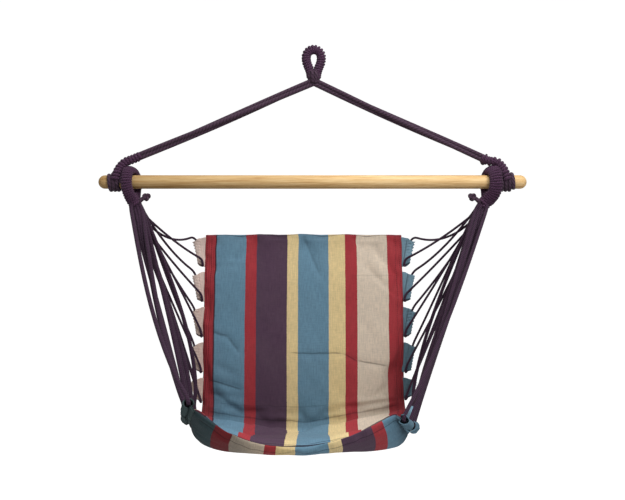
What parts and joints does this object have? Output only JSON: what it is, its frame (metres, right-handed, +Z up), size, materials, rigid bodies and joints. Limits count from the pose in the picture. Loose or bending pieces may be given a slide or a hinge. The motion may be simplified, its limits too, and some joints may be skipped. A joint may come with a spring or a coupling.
{
  "type": "rope hammock",
  "caption": "Hanging rope hammock chair: whipped rope eye, rope legs, wooden spreader bar, and a padded striped cloth cradle held by thin cords through scalloped edges.",
  "frame": {"origin": "crown of the top rope eye, on the flat where the hook bears", "axes": "+Z up; +X along the spreader bar, to the right when the chair is seen from the front; -Y towards the open front of the seat"},
  "size_m": [1, 0.5319, 0.9378],
  "materials": {
    "wood": "satin",
    "rope": "matte",
    "rope_whipping": "matte",
    "cord": "matte",
    "striped_fabric": "matte",
    "border_fabric": "matte",
    "padding": "matte"
  },
  "bodies": {
    "top_eye": {"top_eye_loop": "rope", "top_eye_whipping": "rope_whipping"},
    "throat": {"throat_whipping": "rope_whipping"},
    "fork": {"fork_lashing": "rope_whipping"},
    "hanger": {"left_hanger_cord_1": "rope", "left_hanger_cord_2": "rope", "left_hanger_cord_3": "rope", "left_hanger_end_whipping": "rope_whipping", "left_hanger_end_turns": "rope", "right_hanger_cord_1": "rope", "right_hanger_cord_2": "rope", "right_hanger_cord_3": "rope", "right_hanger_end_whipping": "rope_whipping", "right_hanger_end_turns": "rope", "right_hanger_tail_knot": "rope"},
    "spreader_bar": {"spreader_bar": "wood"},
    "sling": {"left_sling_eye": "rope", "left_sling_eye_whipping": "rope_whipping", "left_sling_throat_whipping": "rope_whipping", "left_sling_tail_knot": "rope", "right_sling_eye": "rope", "right_sling_eye_whipping": "rope_whipping", "right_sling_throat_whipping": "rope_whipping", "right_sling_tail_knot": "rope", "back_front_panel": "striped_fabric", "back_padding": "padding", "back_rear_panel": "striped_fabric", "left_back_scallops": "border_fabric", "left_cord_01": "cord", "left_cord_02": "cord", "left_cord_03": "cord", "left_cord_04": "cord", "left_cord_05": "cord", "left_cord_06": "cord", "left_cord_07": "cord", "left_cord_08": "cord", "left_cord_09": "cord", "left_cord_10": "cord", "right_back_scallops": "border_fabric", "right_cord_01": "cord", "right_cord_02": "cord", "right_cord_03": "cord", "right_cord_04": "cord", "right_cord_05": "cord", "right_cord_06": "cord", "right_cord_07": "cord", "right_cord_08": "cord", "right_cord_09": "cord", "right_cord_10": "cord"},
    "seat": {"seat_top_panel": "striped_fabric", "seat_padding": "padding", "seat_bottom_panel": "striped_fabric", "left_seat_scallops": "border_fabric", "right_seat_scallops": "border_fabric"}
  },
  "joints": [
    {"name": "eye_twist", "type": "hinge", "parent": "top_eye", "child": "throat", "pos_m": [0, 0, -0.05], "axis": [0, 0, 1], "range_deg": [-90, 90]},
    {"name": "fork_sway", "type": "hinge", "parent": "throat", "child": "fork", "pos_m": [0, 0, -0.066], "axis": [0, 1, 0], "range_deg": [-15, 15]},
    {"name": "hanger_swing", "type": "hinge", "parent": "fork", "child": "hanger", "pos_m": [0, 0, -0.066], "axis": [1, 0, 0], "range_deg": [-30, 30]},
    {"name": "bar_roll", "type": "hinge", "parent": "hanger", "child": "spreader_bar", "pos_m": [-0.003, 0, -0.3], "axis": [1, 0, 0], "continuous": true},
    {"name": "sling_swing", "type": "hinge", "parent": "hanger", "child": "sling", "pos_m": [-0.003, 0, -0.3], "axis": [1, 0, 0], "range_deg": [-30, 30]},
    {"name": "seat_fold", "type": "hinge", "parent": "sling", "child": "seat", "pos_m": [-0.025, 0.06575, -0.87607], "axis": [-1, 0, 0], "range_deg": [0, 50], "deforming": ["left_cord_06", "left_cord_07", "left_cord_08", "left_cord_09", "left_cord_10", "right_cord_06", "right_cord_07", "right_cord_08", "right_cord_09", "right_cord_10"]}
  ]
}
